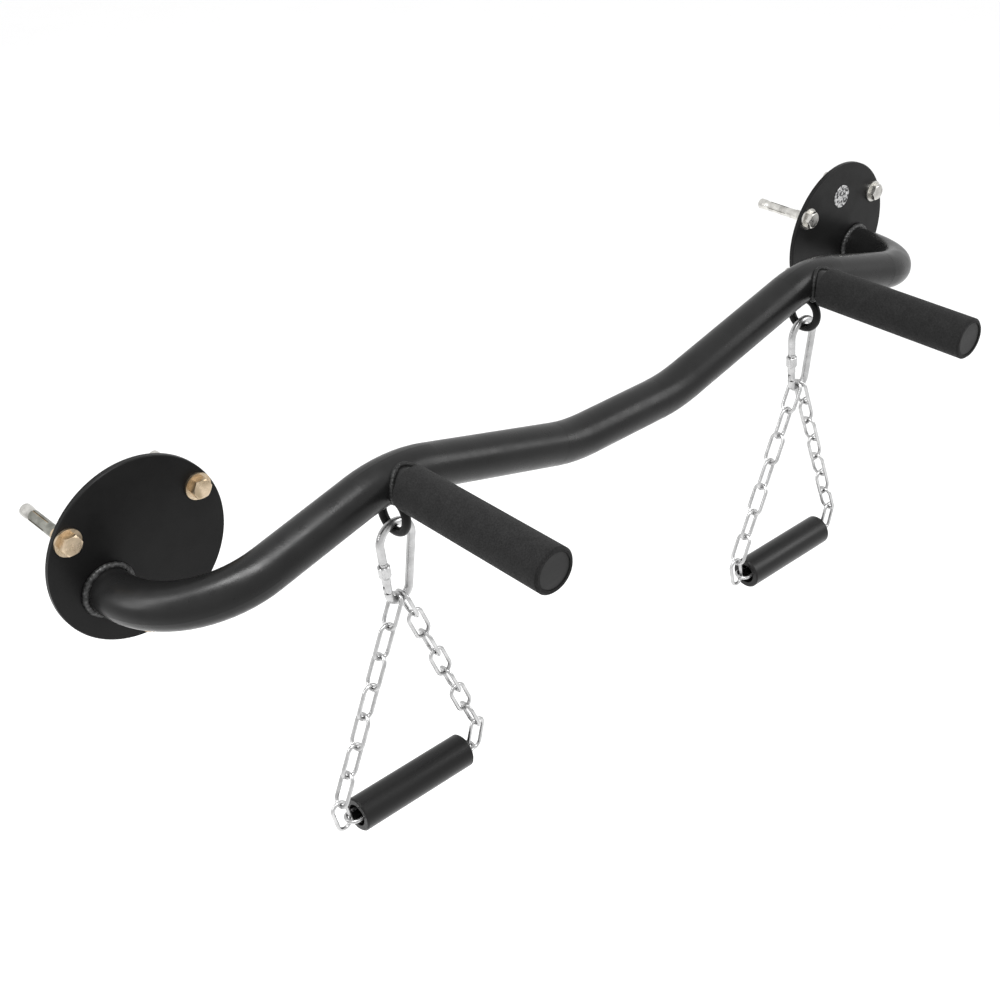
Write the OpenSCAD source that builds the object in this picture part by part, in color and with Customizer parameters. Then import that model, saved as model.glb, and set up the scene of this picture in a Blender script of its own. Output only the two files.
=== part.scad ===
// Wall-mounted pull-up bar: a bent tube between two round plates, two forward handles, and
// two chain handles that hang on carabiners.
// +X runs along the bar, +Y into the wall and +Z up. The origin is on the wall's face, midway
// between the lowest anchors of the two plates.

/* [Wall plates] */
// Distance between the centres of the two wall plates
plate_spacing = 966; // [940:1:1000]
// Diameter of each wall plate
plate_d = 170; // [168:1:180]
// Thickness of each wall plate
plate_t = 5; // [4:0.5:6]
// Diameter of the circle through the three anchors of a plate
anchor_pcd = 144; // [140:1:146]
// Diameter of the anchor holes in a plate
plate_hole_d = 13.6; // [13.4:0.1:14]

/* [Main bar] */
// Outer diameter of the bent tube
tube_d = 42; // [40:0.5:44]
// Wall thickness of the bent tube
tube_wall = 3; // [2:0.5:4]
// Distance from the wall to the axis of the bar
bar_reach = 106; // [104:1:115]
// Distance of the tube's ends outboard of the plate centres
end_outboard = 34.5; // [30:0.5:36]
// Distance of the tube's ends below the plate centres
end_drop = 24; // [20:0.5:26]
// Distance from the middle of the bar to each peak
peak_x = 289; // [280:1:300]
// Half the distance between the two lower bends
dip_x = 71.5; // [60:0.5:80]
// Slope of the straight runs on both sides of a peak, in degrees
slope = 15; // [12:0.5:17]
// Bend radius of the end returns
return_radius = 96; // [90:1:98]
// Bend radius of the peaks
peak_radius = 146; // [130:1:160]
// Bend radius of the lower bends
dip_radius = 171; // [150:1:190]

/* [Forward handles] */
// Outer diameter of the handle tube
handle_d = 33.7; // [32:0.1:34]
// Wall thickness of the handle tube
handle_wall = 2.6; // [2:0.1:3]
// Length of the handle from the bar's axis to the end of the grip
handle_len = 201; // [180:1:210]
// Outer diameter of the foam grip
foam_d = 42.6; // [41:0.2:44]
// Distance from the bar's axis to the start of the foam grip
foam_start = 27; // [26:0.5:32]

/* [Eyelets and carabiners] */
// Wire diameter of the welded eyelet
eye_wire = 8.6; // [8:0.1:9]
// Radius of the eyelet at the middle of its wire
eye_radius = 17; // [16:0.5:18]
// Wire diameter of the carabiner
snap_wire = 8; // [7.8:0.1:8.2]
// Lean of the carabiner's sides towards its narrow end, in degrees
snap_lean = 6.5; // [6:0.1:6.8]
// Radius of the wide end, at the middle of the wire
snap_wide = 18; // [17:0.5:19]
// Radius of the narrow end, at the middle of the wire
snap_narrow = 12; // [12:0.5:13]

/* [Chain handles] */
// Wire diameter of a chain link
link_wire = 4; // [3.6:0.1:4]
// Inner length of a chain link
link_inner = 31.2; // [30:0.1:32]
// Outer width of a chain link
link_width = 19.6; // [19:0.1:19.8]
// Links in a leg, not counting the one that turns the corner
leg_links = 7; // [5:2:9]
// Links in the run through the sleeve
core_links = 5; // [5:2:5]
// Lean of each leg from the vertical, in degrees
leg_lean = 22.4; // [22:0.1:23]
// Outer diameter of the sleeve
sleeve_d = 35; // [32:0.5:38]
// Bore of the sleeve
sleeve_bore = 22.6; // [22.2:0.2:26]
// Length of the sleeve
sleeve_len = 136; // [120:1:136]

/* [Hidden] */
$fn = 64;

left = -1;
right = 1;
eps = 0.05;         // clearance between pieces that are welded or glued
hair = 0.02;        // step between the carabiner's rod and its turned ends
tube_step = 0.06;   // step between a straight of the bar and the bend that it is rooted in
root = 0.3;         // depth of that root
through = 1;        // how far a cutter runs past the face it opens

// Wall plates and anchors
plate_x = plate_spacing / 2;
plate_z = anchor_pcd / 2;
plate_chamfer = 0.8;
anchor_angles = [30, 150, 270];
washer_d = 25;
washer_t = 2.2;
head_af = 17;
head_h = 7;
head_face_r = 8.1;  // flat face of the head, inside its 30 degree chamfer
collar_r = 6.5;     // bolt shank through the washer and the plate
stud_r = 6.2;       // bolt shank in the mouth of the wall's hole
stud_len = 12;
core_r = 4.7;
bolt_len = 64;      // from the wall's face to the bolt's tip
jacket_r = 5.5;
jacket_bore = 4.9;
jacket_end = 50;
slot_w = 1.4;
slot_len = 26;
cone_gap = 0.3;     // between the sleeve's end and the cone
cone_r = 5.95;
cone_taper = 8;
cone_len = 14.2;
cone_entry = 0.1;   // how much wider the cone's tip is than the sleeve's bore
cone_chamfer = 1;
cone_end_r = cone_r - 0.8;
weld_leg = 5;
weld_lip = 1;       // thickness of the bead where it runs out on the tube
badge_d = 27;
badge_t = 0.8;
badge_z = plate_z + 46;

// Main bar
tube_r = tube_d / 2;
end_x = plate_x + end_outboard;
end_z = plate_z - end_drop;
peak_z = end_z + (end_x - peak_x) * tan(slope);
dip_z = peak_z - (peak_x - dip_x) * tan(slope);
stub_len = bar_reach - plate_t - return_radius;
rise_len = (end_x - peak_x) / cos(slope) - return_radius - peak_radius * tan(slope);
fall_len = (peak_x - dip_x) / cos(slope) - peak_radius * tan(slope) - dip_radius * tan(slope / 2);
level_len = 2 * (dip_x - dip_radius * tan(slope / 2));
peak_centre_z = peak_z - peak_radius / cos(slope);
crown_z = peak_centre_z + peak_radius;      // axis of the bar at a peak

// Forward handles
foam_bore_r = handle_d / 2 + 0.1;
foam_chamfer = 2;
handle_bead = 4;
handle_bead_trim = 1;        // turned off the bead's outer diameter
plug_inset = 1;
plug_flange = 3;
plug_stem = 16;
flange_gap = 0.3;            // between the plug's flange and the foam's bore
stem_gap = 0.2;              // off the stem's diameter, inside the tube
tube_end = handle_len - plug_inset - plug_flange;

// Eyelet and carabiner
eye_z = crown_z - tube_r - eye_radius;
eye_pad_r = 8.5;
eye_pad_t = 3;
snap_r = snap_wire / 2;
snap_gap = 0.5;
snap_top_z = eye_z - eye_radius + eye_wire / 2 + snap_gap + snap_wire;
wide_z = snap_top_z - snap_r - snap_wide;
narrow_z = wide_z - (snap_wide - snap_narrow) / sin(snap_lean);
side_len = (wide_z - narrow_z) * cos(snap_lean);

// Gate, measured down the side of the carabiner from the end of the wide bow
turned_r = snap_r - hair;    // the rod's two ends are turned down by a hair
nose_s = 16;
tongue_s = 18.4;
gate_top_s = 16.6;
notch_s = 19.1;
nose_tongue_t = 2.4;
nose_tongue_r = snap_r - 0.5;
notch_t = 3;
thread_r = snap_r + 0.25;
thread_from = 19.1;
thread_to = 39.5;
pin_s = 46;
pin_r = 1.2;
pin_hole_body = 1.22;
pin_hole_gate = 1.27;
knuckle_r = 3.9;
hinge_tongue_r = 3.6;
hinge_tongue_t = 2.6;
fork_t = 3.2;
fork_depth = 5;
shoulder_s = pin_s + 4.4;
spring_bore_r = 1.7;
spring_bore_len = 14;
plunger_r = 1.5;
plunger_tip = 3.9;
plunger_len = 5;
spring_r = 1.2;
spring_wire_r = 0.2;
spring_turns = 6;
spring_len = 9;
spring_step = 24;   // degrees between the rings of the spring's mesh
nut_r = 5.9;
nut_bore_r = thread_r + 0.05;
nut_top_s = 19.5;
nut_len = 13;
nut_chamfer = 1;
flute_r = 0.6;
flutes = 12;

// Chain, worked out in the plane of a handle from the centre of the carabiner's narrow bow
link_r = link_wire / 2;
link_gap = 0.3;
hook_gap = 0.4;     // between the first link and the carabiner's bow
link_side = link_width / 2 - link_r;
link_reach = link_inner + link_wire;         // between the wire centres of its two ends
link_step = link_reach - link_wire - link_gap;
first_wire = snap_narrow - snap_r - link_r - hook_gap;
core_half = (core_links * link_reach - (core_links - 1) * (link_wire + link_gap)) / 2;

link_seat = link_side - link_wire - link_gap;  // wire centre of a link hooked in another's bow
link_bows = link_reach - 2 * link_side;        // between the centres of a link's two bows

function leg_way(lean) = [-sin(lean), -cos(lean)];
function corner_way(turn) = [sin(turn), -cos(turn)];

leg_top = leg_way(leg_lean) * first_wire;
leg_end = leg_top + leg_way(leg_lean) * ((leg_links - 1) * link_step + link_reach);
corner_upper = leg_end + leg_way(leg_lean) * link_seat;
// Turn of the corner link that brings its lower bow to the start of the straight core
corner_turn = asin((-core_half - link_seat - corner_upper[0]) / link_bows);
corner_lower = corner_upper + corner_way(corner_turn) * link_bows;
core_z = narrow_z + corner_lower[1];
sleeve_z = core_z - (sleeve_bore - link_width) / 2 + link_gap;
sleeve_chamfer = 1.5;

// ---- Main bar ----

module ring_profile(r, wall) {
    difference() {
        circle(r = r);
        circle(r = r - wall);
    }
}

// Straight tube, a hair thinner in the wall and rooted in the bends before and after it
module pipe(len, before = root) {
    translate([0, 0, -before]) linear_extrude(len + before + root)
        ring_profile(tube_r - tube_step, tube_wall - 2 * tube_step);
}

// A bend that starts at the origin along +Z and turns towards +X
module elbow(radius, angle) {
    translate([radius, 0, 0]) rotate([90, 0, 180]) rotate_extrude(angle = angle)
        translate([radius, 0]) ring_profile(tube_r, tube_wall);
}

// Carries its children to the far end of such a bend
module past_elbow(radius, angle) {
    translate([radius * (1 - cos(angle)), 0, radius * sin(angle)]) rotate([0, angle, 0])
        children();
}

module half_bar() {
    translate([-end_x, -plate_t, end_z]) rotate([0, -slope, 0]) rotate([90, 0, 0]) {
        pipe(stub_len, before = 0);
        translate([0, 0, stub_len]) {
            elbow(return_radius, 90);
            past_elbow(return_radius, 90) rise_and_fall();
        }
    }
}

module rise_and_fall() {
    pipe(rise_len);
    translate([0, 0, rise_len]) rotate([0, 0, -90]) {
        elbow(peak_radius, 2 * slope);
        past_elbow(peak_radius, 2 * slope) {
            pipe(fall_len);
            translate([0, 0, fall_len]) rotate([0, 0, 180]) elbow(dip_radius, slope);
        }
    }
}

module main_bar() {
    color("#222224") {
        half_bar();
        mirror([1, 0, 0]) half_bar();
        translate([-level_len / 2, -bar_reach, dip_z]) rotate([0, 90, 0]) pipe(level_len);
    }
}

// The bar at a peak as a plain ring, grown to radius r, for fitting welded pieces to it
module peak_ring(r) {
    translate([0, -bar_reach, peak_centre_z]) rotate([90, 0, 0]) rotate_extrude()
        translate([peak_radius, 0]) circle(r = r);
}

// ---- Wall plates and anchors ----

// Places children at each anchor of a plate, with +Z pointing into the wall
module at_anchors(side) {
    for (angle = anchor_angles)
        translate([side * plate_x + plate_z * cos(angle), 0, plate_z * (1 + sin(angle))])
            rotate([-90, 0, 0]) children();
}

module wall_plate(side) {
    color("#1d1d1f") difference() {
        translate([side * plate_x, 0, plate_z]) rotate([90, 0, 0]) {
            cylinder(h = plate_t - plate_chamfer, d = plate_d);
            translate([0, 0, plate_t - plate_chamfer])
                cylinder(h = plate_chamfer, d1 = plate_d, d2 = plate_d - 2 * plate_chamfer);
        }
        at_anchors(side)
            translate([0, 0, -plate_t - through])
                cylinder(h = plate_t + 2 * through, d = plate_hole_d);
    }
}

// Weld bead round the tube where it meets the plate
module plate_weld(side) {
    color("#343436") translate([side * end_x, -plate_t, end_z]) rotate([90, 0, 0])
        difference() {
            cylinder(h = weld_leg, r1 = tube_r + weld_leg, r2 = tube_r + weld_lip);
            translate([0, 0, -through]) cylinder(h = weld_leg + 2 * through, r = tube_r + eps);
        }
}

// Hex bolt with a plain shank through the plate and a thinner core behind it
module anchor_bolts(side) {
    color("#cdbf9f") at_anchors(side) {
        translate([0, 0, -plate_t - washer_t - head_h]) intersection() {
            cylinder(h = head_h, d = head_af / cos(30), $fn = 6);
            cylinder(h = head_h, r1 = head_face_r, r2 = head_face_r + head_h / tan(30));
        }
        translate([0, 0, -plate_t - washer_t]) cylinder(h = plate_t + washer_t, r = collar_r);
        cylinder(h = stud_len, r = stud_r);
        translate([0, 0, stud_len]) cylinder(h = bolt_len - stud_len, r = core_r);
    }
}

module anchor_washers(side) {
    color("#d8cba9") at_anchors(side) translate([0, 0, -plate_t - washer_t]) difference() {
        cylinder(h = washer_t, d = washer_d);
        translate([0, 0, -through]) cylinder(h = washer_t + 2 * through, d = plate_hole_d);
    }
}

// Slotted expansion sleeve on the bolt's core
module anchor_sleeves(side) {
    color("#8d8c84") at_anchors(side) difference() {
        translate([0, 0, stud_len]) cylinder(h = jacket_end - stud_len, r = jacket_r);
        translate([0, 0, stud_len - through])
            cylinder(h = jacket_end - stud_len + 2 * through, r = jacket_bore);
        for (turn = [0, 90])
            rotate([0, 0, turn]) translate([-jacket_r - through, -slot_w / 2, jacket_end - slot_len])
                cube([2 * (jacket_r + through), slot_w, slot_len + through]);
    }
}

// Cone nut that the bolt draws into the sleeve
module anchor_cones(side) {
    color("#a3a298") at_anchors(side) translate([0, 0, jacket_end + cone_gap]) difference() {
        union() {
            cylinder(h = cone_taper, r1 = jacket_bore + cone_entry, r2 = cone_r);
            translate([0, 0, cone_taper]) cylinder(h = cone_len - cone_taper - cone_chamfer, r = cone_r);
            translate([0, 0, cone_len - cone_chamfer])
                cylinder(h = cone_chamfer, r1 = cone_r, r2 = cone_end_r);
        }
        translate([0, 0, -through]) cylinder(h = cone_len + 2 * through, r = core_r + eps);
    }
}

// Round badge, glued to the front of the right plate above the tube
module plate_badge() {
    color("#b9b9b9") translate([plate_x, -plate_t, badge_z]) rotate([90, 0, 0])
        cylinder(h = badge_t, d = badge_d);
}

// ---- Forward handles ----

// Places children on the bar's axis at a peak, with +Z pointing away from the wall
module at_handle(side) {
    translate([side * peak_x, -bar_reach, crown_z]) rotate([90, 0, 0]) children();
}

module handle_tube(side) {
    color("#2a2a2c") difference() {
        at_handle(side) linear_extrude(tube_end) difference() {
            circle(d = handle_d);
            circle(d = handle_d - 2 * handle_wall);
        }
        translate([side * peak_x, 0, 0]) peak_ring(tube_r + eps);
    }
}

// Bead that follows the saddle between the handle tube and the bar
module handle_weld(side) {
    color("#343436") difference() {
        intersection() {
            at_handle(side) cylinder(h = foam_start, d = handle_d + 2 * handle_bead - handle_bead_trim);
            translate([side * peak_x, 0, 0]) peak_ring(tube_r + handle_bead);
        }
        translate([side * peak_x, 0, 0]) peak_ring(tube_r + eps);
        at_handle(side) translate([0, 0, -through])
            cylinder(h = foam_start + 2 * through, d = handle_d + 2 * eps);
        eye_ring(side, eye_wire / 2 + eps);
    }
}

module handle_foam(side) {
    color("#161617") at_handle(side) difference() {
        union() {
            translate([0, 0, foam_start])
                cylinder(h = handle_len - foam_start - foam_chamfer, d = foam_d);
            translate([0, 0, handle_len - foam_chamfer])
                cylinder(h = foam_chamfer, d1 = foam_d, d2 = foam_d - 2 * foam_chamfer);
        }
        translate([0, 0, foam_start - through])
            cylinder(h = handle_len - foam_start + 2 * through, r = foam_bore_r);
    }
}

// Plug with a flange on the tube's end and a stem inside it
module handle_plug(side) {
    color("#1c1c1e") at_handle(side) {
        translate([0, 0, tube_end]) cylinder(h = plug_flange, r = foam_bore_r - flange_gap);
        translate([0, 0, tube_end - plug_stem])
            cylinder(h = plug_stem, d = handle_d - 2 * handle_wall - stem_gap);
    }
}

// ---- Eyelets ----

module eye_ring(side, r) {
    translate([side * peak_x, -bar_reach, eye_z]) rotate([0, 90, 0]) rotate_extrude()
        translate([eye_radius, 0]) circle(r = r);
}

// Wire ring that crosses under the bar and is sunk by half its wire into the weld
module eyelet(side) {
    color("#1d1d1f") difference() {
        eye_ring(side, eye_wire / 2);
        translate([side * peak_x, 0, 0]) peak_ring(tube_r + eps);
    }
}

module eyelet_weld(side) {
    color("#343436") difference() {
        intersection() {
            translate([side * peak_x, -bar_reach, eye_z]) cylinder(h = 2 * eye_radius, r = eye_pad_r);
            translate([side * peak_x, 0, 0]) peak_ring(tube_r + eye_pad_t);
        }
        translate([side * peak_x, 0, 0]) peak_ring(tube_r + eps);
        eye_ring(side, eye_wire / 2 + eps);
    }
}

// ---- Carabiners ----

module at_carabiner(side) {
    translate([side * peak_x, -bar_reach, 0]) children();
}

// Places children at the top of the gate side, with +Z down that side and +X outwards. With
// opposite set to 1 they go to the other side instead.
module at_gate_side(side, opposite = 0) {
    at_carabiner(side) mirror([opposite, 0, 0]) translate([0, 0, wide_z])
        rotate([0, -snap_lean, 0]) translate([-snap_wide, 0, 0]) rotate([0, 180, 0]) children();
}

// Bent wire in the plane of the carabiner, starting on +X and turning towards +Z
module bow(radius, sweep) {
    rotate([90, 0, 0]) rotate_extrude(angle = sweep) translate([radius, 0]) circle(r = snap_r);
}

// Carries its children to the far end of such a bow, with +Z onwards
module past_bow(radius, sweep) {
    rotate([0, -sweep, 0]) translate([radius, 0, 0]) children();
}

// One bent rod, from the nose over the wide bow, down the plain side and up to the hinge
module carabiner_body(side) {
    over = 180 + 2 * snap_lean;
    under = 180 - 2 * snap_lean;
    color("#b4b6b8") at_gate_side(side, 1) {
        cylinder(h = side_len, r = snap_r);
        translate([-snap_wide, 0, 0]) mirror([0, 0, 1]) {
            bow(snap_wide, over);
            past_bow(snap_wide, over) {
                translate([0, 0, -root]) cylinder(h = nose_s + root, r = turned_r);
                nose_tongue();
            }
        }
        translate([-snap_narrow, 0, side_len]) {
            bow(snap_narrow, under);
            past_bow(snap_narrow, under) translate([0, 0, side_len]) mirror([0, 0, 1]) {
                translate([0, 0, shoulder_s]) cylinder(h = side_len - shoulder_s + root, r = turned_r);
                hinge_tongue();
            }
        }
    }
}

// Flat tongue that the gate's notch closes over
module nose_tongue() {
    intersection() {
        translate([0, 0, nose_s]) cylinder(h = tongue_s - nose_s, r = nose_tongue_r);
        translate([-snap_r, -nose_tongue_t / 2, nose_s])
            cube([snap_wire, nose_tongue_t, tongue_s - nose_s]);
    }
}

// Flat tongue with a round end that carries the hinge pin
module hinge_tongue() {
    difference() {
        union() {
            translate([0, hinge_tongue_t / 2, pin_s]) rotate([90, 0, 0])
                cylinder(h = hinge_tongue_t, r = hinge_tongue_r);
            translate([-hinge_tongue_r, -hinge_tongue_t / 2, pin_s])
                cube([2 * hinge_tongue_r, hinge_tongue_t, shoulder_s - pin_s]);
        }
        across_pin(pin_hole_body);
    }
}

// Round cutter or pin along the hinge axis
module across_pin(r, length = 2 * snap_wire) {
    translate([0, length / 2, pin_s]) rotate([90, 0, 0]) cylinder(h = length, r = r);
}

module carabiner_gate(side) {
    color("#b9bbbd") at_gate_side(side) difference() {
        union() {
            translate([0, 0, gate_top_s]) cylinder(h = pin_s - gate_top_s, r = snap_r);
            translate([0, 0, thread_from]) cylinder(h = thread_to - thread_from, r = thread_r);
            intersection() {
                translate([0, 0, pin_s - through]) cylinder(h = snap_wire, r = snap_r);
                across_pin(knuckle_r);
            }
        }
        translate([-snap_wire, -notch_t / 2, gate_top_s - through])
            cube([2 * snap_wire, notch_t, notch_s - gate_top_s + through]);
        translate([-snap_wire, -fork_t / 2, pin_s - fork_depth])
            cube([2 * snap_wire, fork_t, 2 * snap_wire]);
        translate([0, 0, pin_s - fork_depth - spring_bore_len])
            cylinder(h = spring_bore_len + through, r = spring_bore_r);
        across_pin(pin_hole_gate);
    }
}

module gate_pin(side) {
    color("#9a9c9e") at_gate_side(side) across_pin(pin_r, snap_wire);
}

// Plunger that the spring presses on the hinge tongue, so that the gate shuts by itself
module gate_plunger(side) {
    color("#8f9193") at_gate_side(side)
        translate([0, 0, pin_s - plunger_tip - plunger_len])
            cylinder(h = plunger_len, r = plunger_r);
}

// One ring of points across the spring's wire, at an angle along its helix
function spring_ring(angle) = [
    for (side = [0:60:300])
        let (r = spring_r + spring_wire_r * cos(side))
        [r * cos(angle), r * sin(angle),
         spring_len * angle / (360 * spring_turns) + spring_wire_r * sin(side)]
];

module gate_spring(side) {
    rings = spring_turns * 360 / spring_step;
    points = [for (i = [0:rings]) each spring_ring(i * spring_step)];
    walls = [
        for (i = [0:rings - 1], j = [0:5])
            [6 * i + j, 6 * i + 6 + j, 6 * i + 6 + (j + 1) % 6, 6 * i + (j + 1) % 6]
    ];
    caps = [[for (j = [0:5]) j], [for (j = [5:-1:0]) 6 * rings + j]];
    color("#85878a") at_gate_side(side)
        translate([0, 0, pin_s - plunger_tip - plunger_len - spring_len - 2 * spring_wire_r])
            polyhedron(points = points, faces = concat(walls, caps));
}

module lock_nut(side) {
    color("#a9abad") at_gate_side(side) translate([0, 0, nut_top_s]) difference() {
        union() {
            cylinder(h = nut_chamfer, r1 = nut_r - nut_chamfer, r2 = nut_r);
            translate([0, 0, nut_chamfer]) cylinder(h = nut_len - 3 * nut_chamfer, r = nut_r);
            translate([0, 0, nut_len - 2 * nut_chamfer])
                cylinder(h = 2 * nut_chamfer, r1 = nut_r, r2 = nut_r - nut_chamfer);
        }
        translate([0, 0, -through]) cylinder(h = nut_len + 2 * through, r = nut_bore_r);
        for (i = [0:flutes - 1])
            rotate([0, 0, i * 360 / flutes]) translate([nut_r + flute_r / 2, 0, -through])
                cylinder(h = nut_len + 2 * through, r = flute_r);
    }
}

// ---- Chain handles ----

// A chain link that lies in the XZ plane, with its length along Z
module chain_link() {
    for (way = [-1, 1])
        translate([way * link_side, 0, -link_bows / 2]) cylinder(h = link_bows, r = link_r);
    for (end = [0, 1])
        mirror([0, 0, end]) translate([0, 0, link_bows / 2]) rotate([90, 0, 0])
            rotate_extrude(angle = 180) translate([link_side, 0]) circle(r = link_r);
}

// A link from one wire centre onwards, turned on its side where it is crosswise
module place_link(start, way, crosswise) {
    middle = start + way * link_reach / 2;
    translate([middle[0], 0, middle[1]]) rotate([0, atan2(way[0], way[1]), 0])
        rotate([0, 0, crosswise ? 90 : 0]) chain_link();
}

// Places children at the centre of the carabiner's narrow bow
module at_chain(side) {
    translate([side * peak_x, -bar_reach, narrow_z]) children();
}

// A leg and its corner link. The leg towards +X is the mirror of the one towards -X.
module chain_leg(side, towards) {
    way = leg_way(leg_lean);
    color("#c4c6c8") at_chain(side) mirror([towards == right ? 1 : 0, 0, 0]) {
        for (i = [0:leg_links - 1]) place_link(leg_top + way * i * link_step, way, i % 2 == 0);
        place_link(corner_upper - corner_way(corner_turn) * link_side, corner_way(corner_turn), false);
    }
}

module chain_core(side) {
    color("#c4c6c8") at_chain(side) for (i = [0:core_links - 1])
        place_link([i * link_step - core_half, core_z - narrow_z], [1, 0], i % 2 == 0);
}

module chain_sleeve(side) {
    color("#2b2b2d")
        translate([side * peak_x - sleeve_len / 2, -bar_reach, sleeve_z]) rotate([0, 90, 0])
            difference() {
                union() {
                    cylinder(h = sleeve_chamfer, d1 = sleeve_d - 2 * sleeve_chamfer, d2 = sleeve_d);
                    translate([0, 0, sleeve_chamfer])
                        cylinder(h = sleeve_len - 2 * sleeve_chamfer, d = sleeve_d);
                    translate([0, 0, sleeve_len - sleeve_chamfer])
                        cylinder(h = sleeve_chamfer, d1 = sleeve_d, d2 = sleeve_d - 2 * sleeve_chamfer);
                }
                translate([0, 0, -through]) cylinder(h = sleeve_len + 2 * through, d = sleeve_bore);
            }
}

main_bar();
wall_plate(left);  // left_wall_plate
wall_plate(right);  // right_wall_plate
plate_weld(left);  // left_plate_weld
plate_weld(right);  // right_plate_weld
anchor_bolts(left);  // left_anchor_bolts
anchor_bolts(right);  // right_anchor_bolts
anchor_washers(left);  // left_anchor_washers
anchor_washers(right);  // right_anchor_washers
anchor_sleeves(left);  // left_anchor_sleeves
anchor_sleeves(right);  // right_anchor_sleeves
anchor_cones(left);  // left_anchor_cones
anchor_cones(right);  // right_anchor_cones
plate_badge();
handle_tube(left);  // left_handle_tube
handle_tube(right);  // right_handle_tube
handle_weld(left);  // left_handle_weld
handle_weld(right);  // right_handle_weld
handle_foam(left);  // left_handle_foam
handle_foam(right);  // right_handle_foam
handle_plug(left);  // left_handle_plug
handle_plug(right);  // right_handle_plug
eyelet(left);  // left_eyelet
eyelet(right);  // right_eyelet
eyelet_weld(left);  // left_eyelet_weld
eyelet_weld(right);  // right_eyelet_weld
carabiner_body(left);  // left_carabiner_body
carabiner_body(right);  // right_carabiner_body
carabiner_gate(left);  // left_carabiner_gate
carabiner_gate(right);  // right_carabiner_gate
gate_pin(left);  // left_gate_pin
gate_pin(right);  // right_gate_pin
gate_spring(left);  // left_gate_spring
gate_spring(right);  // right_gate_spring
gate_plunger(left);  // left_gate_plunger
gate_plunger(right);  // right_gate_plunger
lock_nut(left);  // left_lock_nut
lock_nut(right);  // right_lock_nut
chain_leg(left, left);  // left_chain_outer_leg
chain_leg(right, right);  // right_chain_outer_leg
chain_leg(left, right);  // left_chain_inner_leg
chain_leg(right, left);  // right_chain_inner_leg
chain_core(left);  // left_chain_core
chain_core(right);  // right_chain_core
chain_sleeve(left);  // left_chain_sleeve
chain_sleeve(right);  // right_chain_sleeve
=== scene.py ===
"""Look of the wall-mounted pull-up bar: materials, beads, grips, badge, camera and light."""
import math
import random

import bmesh
import bpy
from mathutils import Matrix, Vector


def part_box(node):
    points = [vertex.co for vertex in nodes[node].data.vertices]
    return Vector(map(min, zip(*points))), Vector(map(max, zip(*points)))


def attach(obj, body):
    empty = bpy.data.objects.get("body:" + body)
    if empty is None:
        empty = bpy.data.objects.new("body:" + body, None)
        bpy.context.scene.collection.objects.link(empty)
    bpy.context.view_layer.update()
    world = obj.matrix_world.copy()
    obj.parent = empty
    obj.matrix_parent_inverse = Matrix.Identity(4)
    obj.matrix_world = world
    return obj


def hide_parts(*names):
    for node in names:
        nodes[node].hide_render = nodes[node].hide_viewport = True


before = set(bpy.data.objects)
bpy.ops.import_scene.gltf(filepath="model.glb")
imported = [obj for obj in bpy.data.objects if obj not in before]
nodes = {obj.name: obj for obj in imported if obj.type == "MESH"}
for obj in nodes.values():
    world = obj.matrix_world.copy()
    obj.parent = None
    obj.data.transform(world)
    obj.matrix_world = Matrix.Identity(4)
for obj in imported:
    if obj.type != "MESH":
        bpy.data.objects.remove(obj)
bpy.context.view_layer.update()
SIDES = ("left", "right")
MM = 0.001
TUBE_R = 21 * MM      # outer radius of the bar
BAR_Y = -106 * MM     # the bar's axis
CAMERA_PLACE = (-0.9977, -1.0243, 0.8034)
CAMERA_YAW, CAMERA_PITCH, CAMERA_ROLL = 42.26, -32.1, -1.24     # degrees
CAMERA_LENS, CAMERA_SENSOR = 56.36, 36                          # mm
FLOOR_Z, FLOOR_SIZE = -1.3, 40
BEAD_STEPS = 360                        # sections along a weld
PLATE_BEAD_R, PLATE_BEAD_SUNK, PLATE_BEAD_PUDDLES = 3.4 * MM, 1.3 * MM, 34
PLATE_BEAD_TRIM = 0.02 * MM             # how far the bead's back stays off the plate
ROOT_BEAD_R, ROOT_BEAD_PUDDLES = 2.6 * MM, 26
ROOT_BEAD_SUNK, ROOT_BEAD_OUT = 0.8 * MM, 0.6 * MM
random.seed(7)


# ---- Camera, floor and light ----

def set_camera():
    """Looks down on the bar from the left, with the photo's slight roll."""
    yaw, pitch, roll = (math.radians(a) for a in (CAMERA_YAW, CAMERA_PITCH, CAMERA_ROLL))
    level = math.cos(pitch)
    ahead = Vector((math.sin(yaw) * level, math.cos(yaw) * level, math.sin(pitch)))
    right = Vector((math.cos(yaw), -math.sin(yaw), 0))
    up = right.cross(ahead)
    across = right * math.cos(roll) + up * math.sin(roll)
    upward = up * math.cos(roll) - right * math.sin(roll)
    data = bpy.data.cameras.new("camera")
    data.lens = CAMERA_LENS
    data.sensor_width = CAMERA_SENSOR
    data.clip_start = 0.05
    cam = bpy.data.objects.new("camera", data)
    turn = Matrix((across, upward, -ahead)).transposed().to_4x4()
    cam.matrix_world = Matrix.Translation(CAMERA_PLACE) @ turn
    bpy.context.scene.collection.objects.link(cam)
    bpy.context.scene.camera = cam


def add_area(name, place, aim, size, power):
    data = bpy.data.lights.new(name, "AREA")
    data.shape = "RECTANGLE"
    data.size, data.size_y = size
    data.energy = power
    light = bpy.data.objects.new(name, data)
    light.location = place
    light.rotation_euler = (Vector(aim) - Vector(place)).to_track_quat("-Z", "Y").to_euler()
    bpy.context.scene.collection.objects.link(light)


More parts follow.
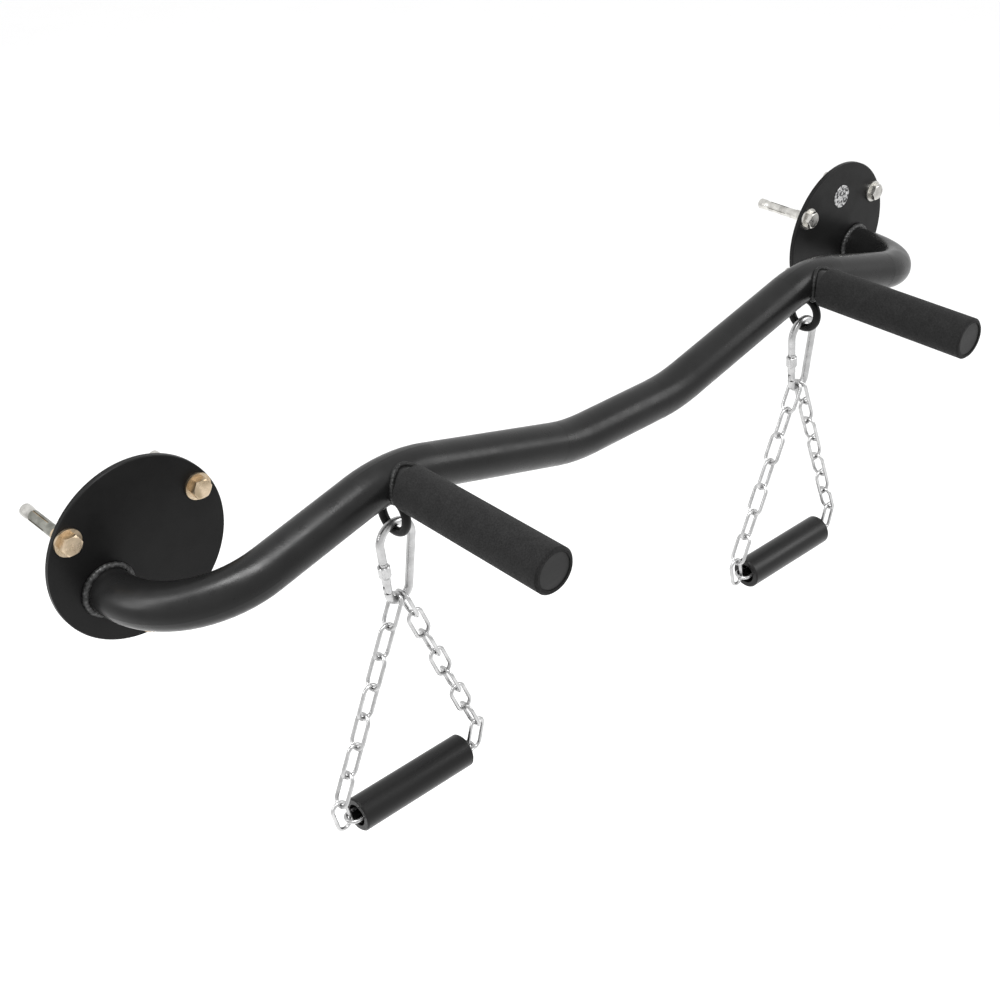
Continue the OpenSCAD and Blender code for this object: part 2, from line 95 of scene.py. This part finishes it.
def set_studio():
    world = bpy.data.worlds.new("studio")
    world.use_nodes = True
    back = world.node_tree.nodes["Background"]
    back.inputs["Color"].default_value = (1, 1, 1, 1)
    back.inputs["Strength"].default_value = 1.0
    bpy.context.scene.world = world
    bpy.context.scene.view_settings.view_transform = "Standard"
    add_area("key", (-0.7, -0.5, 2.0), (0, -0.1, 0), (1.6, 0.5), 60)
    add_area("fill", (1.6, -1.4, 1.1), (0.1, -0.1, 0), (0.8, 1.2), 16)
    add_area("strip", (-1.8, 0.3, 1.0), (0, -0.1, 0), (0.4, 1.6), 20)
    bm = bmesh.new()
    bmesh.ops.create_grid(bm, x_segments=1, y_segments=1, size=FLOOR_SIZE)
    mesh = bpy.data.meshes.new("floor")
    bm.to_mesh(mesh)
    bm.free()
    floor = bpy.data.objects.new("floor", mesh)
    floor.location = (0, 0, FLOOR_Z)
    mesh.materials.append(plain_floor())
    bpy.context.scene.collection.objects.link(floor)


# ---- Materials ----

class Paint:
    """A principled material, with helpers for the node chains that the finishes share."""

    def __init__(self, name, colour, rough, metal=0.0, **inputs):
        self.mat = bpy.data.materials.new(name)
        self.mat.use_nodes = True
        self.tree = self.mat.node_tree
        self.shader = self.tree.nodes["Principled BSDF"]
        self.shader.inputs["Base Color"].default_value = (*colour, 1)
        self.shader.inputs["Roughness"].default_value = rough
        self.shader.inputs["Metallic"].default_value = metal
        for key, value in inputs.items():
            self.shader.inputs[key.replace("_", " ")].default_value = value
        self.place = self.tree.nodes.new("ShaderNodeTexCoord").outputs["Object"]

    def link(self, a, b):
        self.tree.links.new(a, b)

    def noise(self, scale, detail=4.0, stretch=None):
        """Noise over the object's own space; scale is in features per metre."""
        node = self.tree.nodes.new("ShaderNodeTexNoise")
        node.inputs["Scale"].default_value = scale
        node.inputs["Detail"].default_value = detail
        place = self.place
        if stretch:
            mapping = self.tree.nodes.new("ShaderNodeMapping")
            mapping.inputs["Scale"].default_value = stretch
            self.link(place, mapping.inputs["Vector"])
            place = mapping.outputs["Vector"]
        self.link(place, node.inputs["Vector"])
        return node.outputs["Fac"]

    def cells(self, scale):
        node = self.tree.nodes.new("ShaderNodeTexVoronoi")
        node.inputs["Scale"].default_value = scale
        self.link(self.place, node.inputs["Vector"])
        return node.outputs["Distance"]

    def ramp(self, source, low, high, start=0.3, stop=0.7):
        """Maps a source to two colours, given as greys or as triples."""
        node = self.tree.nodes.new("ShaderNodeValToRGB")
        for index, place, value in ((0, start, low), (1, stop, high)):
            element = node.color_ramp.elements[index]
            element.position = place
            element.color = (*value, 1) if isinstance(value, tuple) else (value, value, value, 1)
        self.link(source, node.inputs["Fac"])
        return node.outputs["Color"]

    def colour(self, source, low, high, start=0.3, stop=0.7):
        self.link(self.ramp(source, low, high, start, stop), self.shader.inputs["Base Color"])

    def rough(self, source, low, high, start=0.3, stop=0.7):
        self.link(self.ramp(source, low, high, start, stop), self.shader.inputs["Roughness"])

    def bump(self, *layers):
        """Adds (height source, depth in metres) layers, the coarsest first."""
        normal = None
        for source, depth in layers:
            node = self.tree.nodes.new("ShaderNodeBump")
            node.inputs["Strength"].default_value = 1.0
            node.inputs["Distance"].default_value = depth
            self.link(source, node.inputs["Height"])
            if normal:
                self.link(normal, node.inputs["Normal"])
            normal = node.outputs["Normal"]
        self.link(normal, self.shader.inputs["Normal"])


def plain_floor():
    p = Paint("floor_paint", (0.97, 0.97, 0.97), 0.8)
    p.colour(p.noise(3), 0.965, 0.975)
    return p.mat


def powder_coat(name, grey, rough, grain, gloss):
    """Black powder coat: a fine orange peel, with a slightly uneven gloss."""
    p = Paint(name, (grey,) * 3, rough, Specular_IOR_Level=gloss)
    p.colour(p.noise(26), (grey * 0.8,) * 3, (grey * 1.25,) * 3)
    p.rough(p.noise(60, 6), rough - 0.05, rough + 0.07)
    p.bump((p.noise(420, 3), grain * 2), (p.noise(1500, 2), grain))
    return p.mat


def bead_paint(name, highlight_grey, gloss):
    """Painted weld: random lighter grey patches, which are painted highlight, on a dark coat that
    is rough in between.
    """
    p = Paint(name, (highlight_grey / 3,) * 3, 0.33, Specular_IOR_Level=gloss)
    # The lighter grey patches are painted highlight, scattered at random over the weld.
    p.colour(p.noise(300), (0.008, 0.008, 0.008), (highlight_grey,) * 3, 0.45, 0.85)
    p.rough(p.noise(500), 0.3, 0.55)
    p.bump((p.noise(350, 5), 0.0003), (p.noise(1300, 3), 0.0001))
    return p.mat


def foam_paint():
    """Dense black foam: open pores in a matte skin."""
    p = Paint("foam_paint", (0.006, 0.006, 0.006), 0.78, Specular_IOR_Level=0.14, Sheen_Weight=0.03,
              Sheen_Roughness=0.5)
    p.colour(p.noise(700, 8), (0.003, 0.003, 0.003), (0.011, 0.011, 0.011), 0.35, 0.75)
    p.rough(p.noise(90), 0.7, 0.86)
    p.bump((p.noise(130, 3), 0.0003), (p.cells(1400), 0.00025))
    return p.mat


def plastic_paint(name, grey, rough, gloss):
    """Moulded plastic with a fine spark-eroded grain and faint flow marks along X."""
    p = Paint(name, (grey,) * 3, rough, Specular_IOR_Level=gloss)
    p.colour(p.noise(20, 5, (0.2, 1, 1)), (grey * 0.85,) * 3, (grey * 1.2,) * 3)
    p.rough(p.noise(50, 4, (0.2, 1, 1)), rough - 0.05, rough + 0.06)
    p.bump((p.noise(300, 3, (0.15, 1, 1)), 0.0001), (p.noise(2200, 2), 0.00006))
    return p.mat


def zinc_paint(name, low, high, rough, depth=0.00008):
    """Zinc plating: crystals a few millimetres across, fine brushing and darker hollows."""
    p = Paint(name, high, rough, metal=1.0)
    p.colour(p.noise(110, 6), low, high, 0.32, 0.62)
    p.rough(p.noise(160, 6), rough - 0.08, rough + 0.12)
    p.bump((p.noise(260, 4), depth), (p.noise(1400, 3), depth / 2))
    return p.mat


def badge_paint():
    """Cast badge: dark enamel pooled in a coarse, hammered grain on grey metal."""
    p = Paint("badge_metal", (0.45, 0.45, 0.45), 0.4, metal=0.6)
    p.colour(p.noise(330, 2), (0.03, 0.03, 0.032), (0.50, 0.50, 0.50), 0.42, 0.56)
    p.rough(p.noise(200, 4), 0.3, 0.55)
    p.bump((p.noise(330, 2), 0.0006), (p.noise(1400, 3), 0.0001))
    return p.mat


def make_paints():
    return {
        "bar": powder_coat("bar_coat", 0.006, 0.30, 0.00003, 0.22),
        "plate": powder_coat("plate_coat", 0.004, 0.38, 0.00004, 0.14),
        # The weld colours carry painted highlight: lighter grey on the plate welds, darker at the
        # handle roots.
        "bead": bead_paint("bead_coat", 0.07, 0.4),
        "root": bead_paint("root_coat", 0.02, 0.15),
        "foam": foam_paint(),
        "plug": plastic_paint("plug_plastic", 0.008, 0.42, 0.22),
        "sleeve": plastic_paint("sleeve_plastic", 0.006, 0.30, 0.22),
        "gold": zinc_paint("gold_zinc", (0.42, 0.33, 0.22), (0.62, 0.50, 0.36), 0.30),
        "silver": zinc_paint("silver_zinc", (0.38, 0.37, 0.35), (0.62, 0.61, 0.58), 0.26),
        "grey": zinc_paint("anchor_zinc", (0.16, 0.16, 0.14), (0.30, 0.30, 0.27), 0.35),
        "bright": zinc_paint("bright_zinc", (0.40, 0.40, 0.40), (0.50, 0.50, 0.50), 0.30),
        "wire": zinc_paint("spring_wire", (0.30, 0.30, 0.31), (0.52, 0.52, 0.54), 0.3),
        "badge": badge_paint(),
    }


NODE_PAINTS = {
    "wall_plate": "plate", "plate_weld": "bead", "handle_tube": "bar", "handle_weld": "bead",
    "handle_foam": "foam", "handle_plug": "plug", "eyelet": "plate", "eyelet_weld": "bead",
    "anchor_sleeves": "grey",
    "carabiner_body": "bright", "carabiner_gate": "bright", "lock_nut": "bright",
    "gate_pin": "wire", "gate_spring": "wire", "gate_plunger": "wire",
    "chain_outer_leg": "bright", "chain_inner_leg": "bright", "chain_core": "bright",
    "chain_sleeve": "sleeve",
}


def paint_nodes(paints):
    for name, node in nodes.items():
        kind = name.split("_", 1)[1]
        if kind in ("anchor_bolts", "anchor_washers"):
            paint = "gold" if name.startswith("left") else "silver"
        elif kind == "anchor_cones" or name == "right_anchor_sleeves":
            paint = "silver"
        else:
            paint = {"main_bar": "bar", "plate_badge": "badge"}.get(name) or NODE_PAINTS[kind]
        node.data.materials.clear()
        node.data.materials.append(paints[paint])


# ---- Pieces made here ----

def new_piece(name, bm, paint, body, replaced=(), smooth=True):
    for face in bm.faces:
        face.smooth = smooth
    mesh = bpy.data.meshes.new(name)
    bm.to_mesh(mesh)
    bm.free()
    mesh.materials.append(paint)
    obj = bpy.data.objects.new(name, mesh)
    bpy.context.scene.collection.objects.link(obj)
    if replaced:
        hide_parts(*replaced)
    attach(obj, body)
    return obj


def sweep_closed(bm, path, outward, radius, around=10):
    """Skins a closed path with round sections. radius(i) gives each section's radius."""
    count = len(path)
    rings = []
    for i, point in enumerate(path):
        along = (path[(i + 1) % count] - path[i - 1]).normalized()
        out = (outward[i] - along * outward[i].dot(along)).normalized()
        side = along.cross(out)
        ring = []
        for k in range(around):
            angle = 2 * math.pi * k / around
            offset = (out * math.cos(angle) + side * math.sin(angle)) * radius(i)
            ring.append(bm.verts.new(point + offset))
        rings.append(ring)
    for i in range(count):
        a, b = rings[i], rings[(i + 1) % count]
        for k in range(around):
            bm.faces.new((a[k], a[(k + 1) % around], b[(k + 1) % around], b[k]))


def ripple(count, beads, size, swell):
    """Radius along a weld: one swelling per puddle, each a little different."""
    scale = [1 + random.uniform(-swell, swell) for _ in range(beads)]

    def radius(i):
        place = i / count * beads
        lift = 1 - (2 * (place % 1) - 1) ** 2
        return size * scale[int(place) % beads] * (0.93 + 0.08 * lift)

    return radius


def plate_bead(side, paints):
    """Weld round the foot of the bar, of overlapping puddles."""
    low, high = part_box(f"{side}_plate_weld")
    centre = (low + high) / 2
    face = high.y
    path, outward = [], []
    for i in range(BEAD_STEPS):
        angle = 2 * math.pi * i / BEAD_STEPS
        out = Vector((math.cos(angle), 0, math.sin(angle)))
        path.append(Vector((centre.x, face - PLATE_BEAD_SUNK, centre.z))
                    + out * (TUBE_R + PLATE_BEAD_SUNK))
        outward.append(out)
    bm = bmesh.new()
    sweep_closed(bm, path, outward, ripple(BEAD_STEPS, PLATE_BEAD_PUDDLES, PLATE_BEAD_R, 0.04))
    trim_behind(bm, face - PLATE_BEAD_TRIM)
    new_piece(f"{side}_plate_bead", bm, paints["bead"], "frame", (f"{side}_plate_weld",))


def trim_behind(bm, plane_y):
    """Flattens what would stand behind a face at plane_y, towards the wall."""
    for vert in bm.verts:
        vert.co.y = min(vert.co.y, plane_y)


def handle_bead(side, paints):
    """Weld along the saddle where the forward handle meets the bar."""
    low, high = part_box(f"{side}_handle_tube")
    x = (low.x + high.x) / 2
    handle_r = (high.x - low.x) / 2
    z = (low.z + high.z) / 2
    path, outward = [], []
    for i in range(BEAD_STEPS):
        angle = 2 * math.pi * i / BEAD_STEPS
        out = Vector((math.cos(angle), 0, math.sin(angle)))
        reach = math.sqrt(TUBE_R ** 2 - (handle_r * math.sin(angle)) ** 2)
        path.append(Vector((x, BAR_Y - reach - ROOT_BEAD_SUNK, z))
                    + out * (handle_r + ROOT_BEAD_OUT))
        outward.append(out)
    bm = bmesh.new()
    sweep_closed(bm, path, outward, ripple(BEAD_STEPS, ROOT_BEAD_PUDDLES, ROOT_BEAD_R, 0.2))
    new_piece(f"{side}_handle_bead", bm, paints["root"], "frame", (f"{side}_handle_weld",))


def badge(paints):
    """Round badge with a raised rim, a beaded ring and a plain dome."""
    low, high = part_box("plate_badge")
    centre = (low + high) / 2
    radius = (high.x - low.x) / 2
    back, front = high.y, low.y
    rings = [(1.0, 0.0), (1.0, 0.75), (0.965, 1.0), (0.90, 1.0), (0.875, 0.62), (0.80, 0.55),
             (0.60, 0.55), (0.57, 0.80), (0.52, 0.86), (0.49, 0.55), (0.34, 0.58), (0.17, 0.72),
             (0.0, 0.78)]
    around, teeth = 144, 36
    bm = bmesh.new()
    loops = []
    for k, (share, height) in enumerate(rings[:-1]):
        loop = []
        for i in range(around):
            angle = 2 * math.pi * i / around
            lift = height
            if 5 <= k <= 6:
                lift += 0.22 * max(0.0, math.sin(angle * teeth))
            y = back + (front - back) * min(lift, 1.0)
            spot = (centre.x + radius * share * math.cos(angle), y,
                    centre.z + radius * share * math.sin(angle))
            loop.append(bm.verts.new(spot))
        loops.append(loop)
    for a, b in zip(loops, loops[1:]):
        for i in range(around):
            j = (i + 1) % around
            bm.faces.new((a[i], b[i], b[j], a[j]))
    tip = bm.verts.new((centre.x, back + (front - back) * rings[-1][1], centre.z))
    for i in range(around):
        bm.faces.new((loops[-1][i], tip, loops[-1][(i + 1) % around]))
    bm.faces.new(loops[0])
    bmesh.ops.recalc_face_normals(bm, faces=bm.faces)
    new_piece("badge_face", bm, paints["badge"], "frame", ("plate_badge",), smooth=False)


set_camera()
set_studio()
paints = make_paints()
paint_nodes(paints)
for side in SIDES:
    plate_bead(side, paints)
    handle_bead(side, paints)
badge(paints)
